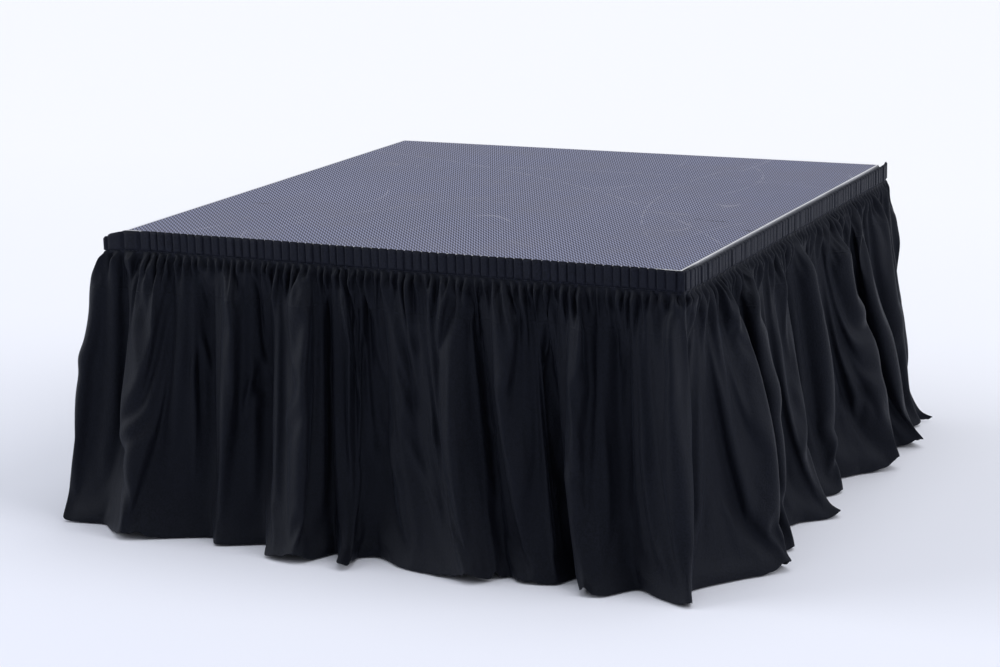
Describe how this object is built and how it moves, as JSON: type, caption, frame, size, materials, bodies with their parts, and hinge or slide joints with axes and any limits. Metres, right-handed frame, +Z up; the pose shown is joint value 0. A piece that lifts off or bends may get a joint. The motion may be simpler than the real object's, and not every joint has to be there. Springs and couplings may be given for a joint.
{
  "type": "skirted stage riser platform",
  "caption": "Square textured stage deck in an aluminium edge frame on plug-in telescopic legs, with a shirred black fabric skirt to the floor.",
  "frame": {"origin": "on the floor under the middle of the square deck", "axes": "+Z up, the front side towards -Y, +X along the front to the right"},
  "size_m": [1.459, 1.459, 0.61],
  "materials": {
    "phenolic_ply": "satin",
    "frame_aluminium": "satin",
    "cast_aluminium": "matte",
    "leg_aluminium": "satin",
    "zinc_steel": "satin",
    "black_tape": "matte",
    "skirt_fabric": "satin",
    "black_nylon": "matte",
    "black_rubber": "matte"
  },
  "bodies": {
    "deck": {"deck_panel": "phenolic_ply", "rail_front": "frame_aluminium", "rail_right": "frame_aluminium", "rail_back": "frame_aluminium", "rail_left": "frame_aluminium", "corner_socket_front_left": "cast_aluminium", "corner_socket_front_right": "cast_aluminium", "corner_socket_back_right": "cast_aluminium", "corner_socket_back_left": "cast_aluminium", "joist_left": "frame_aluminium", "joist_right": "frame_aluminium", "joist_brackets": "zinc_steel", "socket_bolts": "zinc_steel", "bracket_bolts": "zinc_steel", "hook_tape": "black_tape", "loop_tape": "black_tape", "skirt_header_front": "skirt_fabric", "skirt_header_right": "skirt_fabric", "skirt_header_back": "skirt_fabric", "skirt_header_left": "skirt_fabric", "skirt_front": "skirt_fabric", "skirt_right": "skirt_fabric", "skirt_back": "skirt_fabric", "skirt_left": "skirt_fabric"},
    "outer_leg_front_left": {"leg_tube_front_left": "leg_aluminium", "leg_collar_front_left": "cast_aluminium"},
    "inner_leg_front_left": {"leg_inner_front_left": "leg_aluminium", "leg_plug_front_left": "black_nylon", "lock_nut_front_left": "zinc_steel"},
    "foot_front_left": {"foot_spindle_front_left": "zinc_steel", "foot_pad_front_left": "black_rubber"},
    "socket_knob_front_left": {"socket_knob_front_left": "black_nylon"},
    "collar_knob_front_left": {"collar_knob_front_left": "black_nylon"},
    "outer_leg_front_right": {"leg_tube_front_right": "leg_aluminium", "leg_collar_front_right": "cast_aluminium"},
    "inner_leg_front_right": {"leg_inner_front_right": "leg_aluminium", "leg_plug_front_right": "black_nylon", "lock_nut_front_right": "zinc_steel"},
    "foot_front_right": {"foot_spindle_front_right": "zinc_steel", "foot_pad_front_right": "black_rubber"},
    "socket_knob_front_right": {"socket_knob_front_right": "black_nylon"},
    "collar_knob_front_right": {"collar_knob_front_right": "black_nylon"},
    "outer_leg_back_right": {"leg_tube_back_right": "leg_aluminium", "leg_collar_back_right": "cast_aluminium"},
    "inner_leg_back_right": {"leg_inner_back_right": "leg_aluminium", "leg_plug_back_right": "black_nylon", "lock_nut_back_right": "zinc_steel"},
    "foot_back_right": {"foot_spindle_back_right": "zinc_steel", "foot_pad_back_right": "black_rubber"},
    "socket_knob_back_right": {"socket_knob_back_right": "black_nylon"},
    "collar_knob_back_right": {"collar_knob_back_right": "black_nylon"},
    "outer_leg_back_left": {"leg_tube_back_left": "leg_aluminium", "leg_collar_back_left": "cast_aluminium"},
    "inner_leg_back_left": {"leg_inner_back_left": "leg_aluminium", "leg_plug_back_left": "black_nylon", "lock_nut_back_left": "zinc_steel"},
    "foot_back_left": {"foot_spindle_back_left": "zinc_steel", "foot_pad_back_left": "black_rubber"},
    "socket_knob_back_left": {"socket_knob_back_left": "black_nylon"},
    "collar_knob_back_left": {"collar_knob_back_left": "black_nylon"}
  },
  "joints": [
    {"name": "leg_plug_in_front_left", "type": "slide", "parent": "deck", "child": "outer_leg_front_left", "axis": [0, 0, -1], "range_m": [0, 0.12]},
    {"name": "leg_extend_front_left", "type": "slide", "parent": "outer_leg_front_left", "child": "inner_leg_front_left", "axis": [0, 0, -1], "range_m": [0, 0.305]},
    {"name": "foot_level_front_left", "type": "slide", "parent": "inner_leg_front_left", "child": "foot_front_left", "axis": [0, 0, -1], "range_m": [0, 0.03]},
    {"name": "socket_knob_turn_front_left", "type": "hinge", "parent": "deck", "child": "socket_knob_front_left", "pos_m": [-0.5315, -0.5315, 0.492], "axis": [0.7071, 0.7071, 0], "range_deg": [0, 270]},
    {"name": "collar_knob_turn_front_left", "type": "hinge", "parent": "outer_leg_front_left", "child": "collar_knob_front_left", "pos_m": [-0.5315, -0.5315, 0.0636], "axis": [0.7071, 0.7071, 0], "range_deg": [0, 270]},
    {"name": "leg_plug_in_front_right", "type": "slide", "parent": "deck", "child": "outer_leg_front_right", "axis": [0, 0, -1], "range_m": [0, 0.12]},
    {"name": "leg_extend_front_right", "type": "slide", "parent": "outer_leg_front_right", "child": "inner_leg_front_right", "axis": [0, 0, -1], "range_m": [0, 0.305]},
    {"name": "foot_level_front_right", "type": "slide", "parent": "inner_leg_front_right", "child": "foot_front_right", "axis": [0, 0, -1], "range_m": [0, 0.03]},
    {"name": "socket_knob_turn_front_right", "type": "hinge", "parent": "deck", "child": "socket_knob_front_right", "pos_m": [0.5315, -0.5315, 0.492], "axis": [-0.7071, 0.7071, 0], "range_deg": [0, 270]},
    {"name": "collar_knob_turn_front_right", "type": "hinge", "parent": "outer_leg_front_right", "child": "collar_knob_front_right", "pos_m": [0.5315, -0.5315, 0.0636], "axis": [-0.7071, 0.7071, 0], "range_deg": [0, 270]},
    {"name": "leg_plug_in_back_right", "type": "slide", "parent": "deck", "child": "outer_leg_back_right", "axis": [0, 0, -1], "range_m": [0, 0.12]},
    {"name": "leg_extend_back_right", "type": "slide", "parent": "outer_leg_back_right", "child": "inner_leg_back_right", "axis": [0, 0, -1], "range_m": [0, 0.305]},
    {"name": "foot_level_back_right", "type": "slide", "parent": "inner_leg_back_right", "child": "foot_back_right", "axis": [0, 0, -1], "range_m": [0, 0.03]},
    {"name": "socket_knob_turn_back_right", "type": "hinge", "parent": "deck", "child": "socket_knob_back_right", "pos_m": [0.5315, 0.5315, 0.492], "axis": [-0.7071, -0.7071, 0], "range_deg": [0, 270]},
    {"name": "collar_knob_turn_back_right", "type": "hinge", "parent": "outer_leg_back_right", "child": "collar_knob_back_right", "pos_m": [0.5315, 0.5315, 0.0636], "axis": [-0.7071, -0.7071, 0], "range_deg": [0, 270]},
    {"name": "leg_plug_in_back_left", "type": "slide", "parent": "deck", "child": "outer_leg_back_left", "axis": [0, 0, -1], "range_m": [0, 0.12]},
    {"name": "leg_extend_back_left", "type": "slide", "parent": "outer_leg_back_left", "child": "inner_leg_back_left", "axis": [0, 0, -1], "range_m": [0, 0.305]},
    {"name": "foot_level_back_left", "type": "slide", "parent": "inner_leg_back_left", "child": "foot_back_left", "axis": [0, 0, -1], "range_m": [0, 0.03]},
    {"name": "socket_knob_turn_back_left", "type": "hinge", "parent": "deck", "child": "socket_knob_back_left", "pos_m": [-0.5315, 0.5315, 0.492], "axis": [0.7071, -0.7071, 0], "range_deg": [0, 270]},
    {"name": "collar_knob_turn_back_left", "type": "hinge", "parent": "outer_leg_back_left", "child": "collar_knob_back_left", "pos_m": [-0.5315, 0.5315, 0.0636], "axis": [0.7071, -0.7071, 0], "range_deg": [0, 270]}
  ]
}
